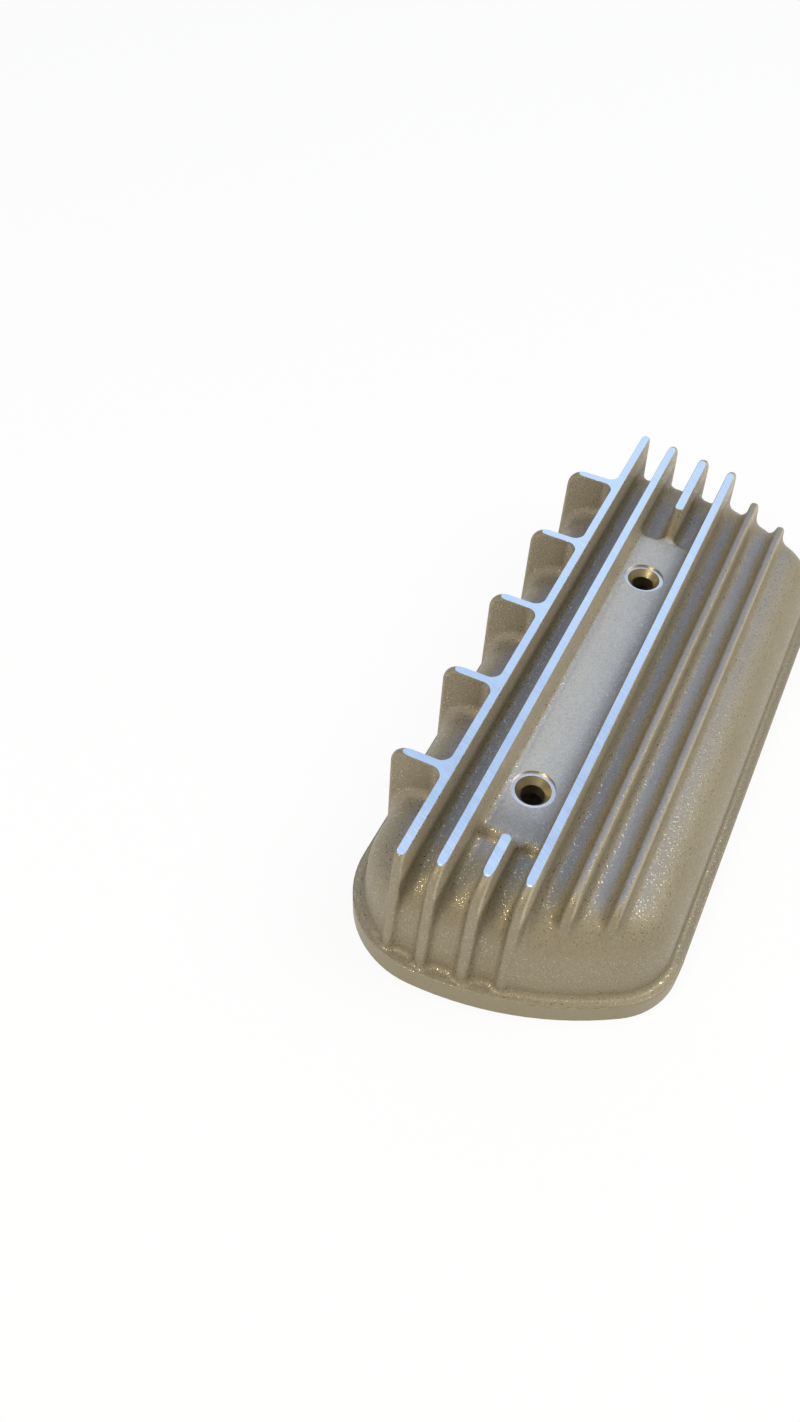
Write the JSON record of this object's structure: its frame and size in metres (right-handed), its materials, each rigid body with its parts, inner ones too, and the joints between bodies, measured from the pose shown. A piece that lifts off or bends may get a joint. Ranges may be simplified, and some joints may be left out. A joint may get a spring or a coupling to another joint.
{
  "type": "engine valve cover",
  "caption": "Finned cast aluminium valve cover: long ribs with milled tops, short cross fins along one side, and a recessed pad with two bolt holes.",
  "frame": {"origin": "centre of the rim face's outline, in the plane that seals on the cylinder head", "axes": "+X along the long fins, +Y towards the side with the cross fins, +Z out of the engine, up as the part lies on its rim"},
  "size_m": [0.262, 0.1134, 0.054],
  "materials": {
    "cast_aluminium": "blasted casting with milled fin tops and rim face"
  },
  "bodies": {
    "root": {"valve_cover": "cast_aluminium"}
  },
  "joints": []
}
